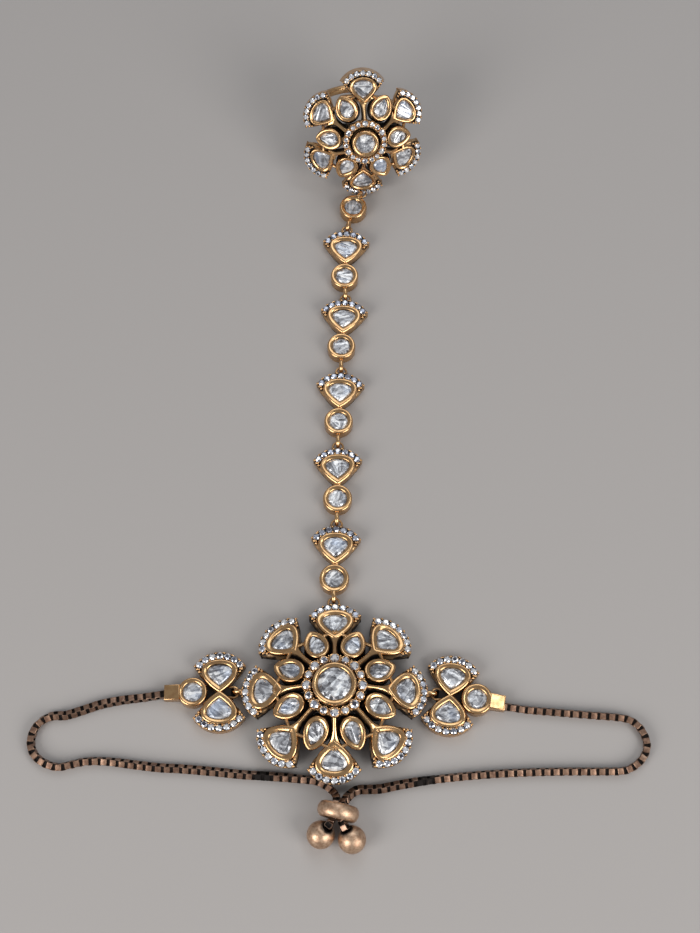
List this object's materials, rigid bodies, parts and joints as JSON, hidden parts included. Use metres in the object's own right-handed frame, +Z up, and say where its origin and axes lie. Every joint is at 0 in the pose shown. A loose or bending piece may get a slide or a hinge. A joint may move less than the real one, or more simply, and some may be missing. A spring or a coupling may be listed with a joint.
{
  "type": "hand harness",
  "caption": "Finger ring joined by a strand of fan-shaped stone-set links to a domed flower, with side stations, a box chain and slider for the wrist",
  "frame": {"origin": "centre of the bounding box in plan, on the surface that the harness lies on", "axes": "+X to the wearer's right as it lies, +Y along the strand towards the finger ring, +Z up"},
  "size_m": [0.122, 0.1746, 0.0239],
  "materials": {
    "gold": "satin antique gold, darkened in the recesses",
    "chain": "darker rose gold, worn",
    "stones": "flat uncut stones on silver foil"
  },
  "bodies": {
    "root": {"ball_left": "gold", "ball_right": "gold", "chain_left": "chain", "chain_right": "chain", "finger_ring": "gold", "flower_centre_stone": "stones", "flower_frame": "gold", "flower_pear_stone_1": "stones", "flower_pear_stone_2": "stones", "flower_pear_stone_3": "stones", "flower_pear_stone_4": "stones", "flower_pear_stone_5": "stones", "flower_pear_stone_6": "stones", "flower_pear_stone_7": "stones", "flower_pear_stone_8": "stones", "flower_petal_stone_1": "stones", "flower_petal_stone_2": "stones", "flower_petal_stone_3": "stones", "flower_petal_stone_4": "stones", "flower_petal_stone_5": "stones", "flower_petal_stone_6": "stones", "flower_petal_stone_7": "stones", "flower_petal_stone_8": "stones", "jump_ring_1": "gold", "jump_ring_2": "gold", "jump_ring_3": "gold", "jump_ring_4": "gold", "jump_ring_5": "gold", "jump_ring_6": "gold", "jump_ring_7": "gold", "jump_ring_8": "gold", "jump_ring_9": "gold", "ring_centre_stone": "stones", "slider_bead": "gold", "station_left": "gold", "station_left_fan_stone_1": "stones", "station_left_fan_stone_2": "stones", "station_left_round_stone": "stones", "station_right": "gold", "station_right_fan_stone_1": "stones", "station_right_fan_stone_2": "stones", "station_right_round_stone": "stones", "strand_fan_stone_1": "stones", "strand_fan_stone_2": "stones", "strand_fan_stone_3": "stones", "strand_fan_stone_4": "stones", "strand_fan_stone_5": "stones", "strand_link_1": "gold", "strand_link_2": "gold", "strand_link_3": "gold", "strand_link_4": "gold", "strand_link_5": "gold", "strand_round": "gold", "strand_round_stone_1": "stones", "strand_round_stone_2": "stones", "strand_round_stone_3": "stones", "strand_round_stone_4": "stones", "strand_round_stone_5": "stones", "strand_round_stone_6": "stones"}
  },
  "joints": []
}
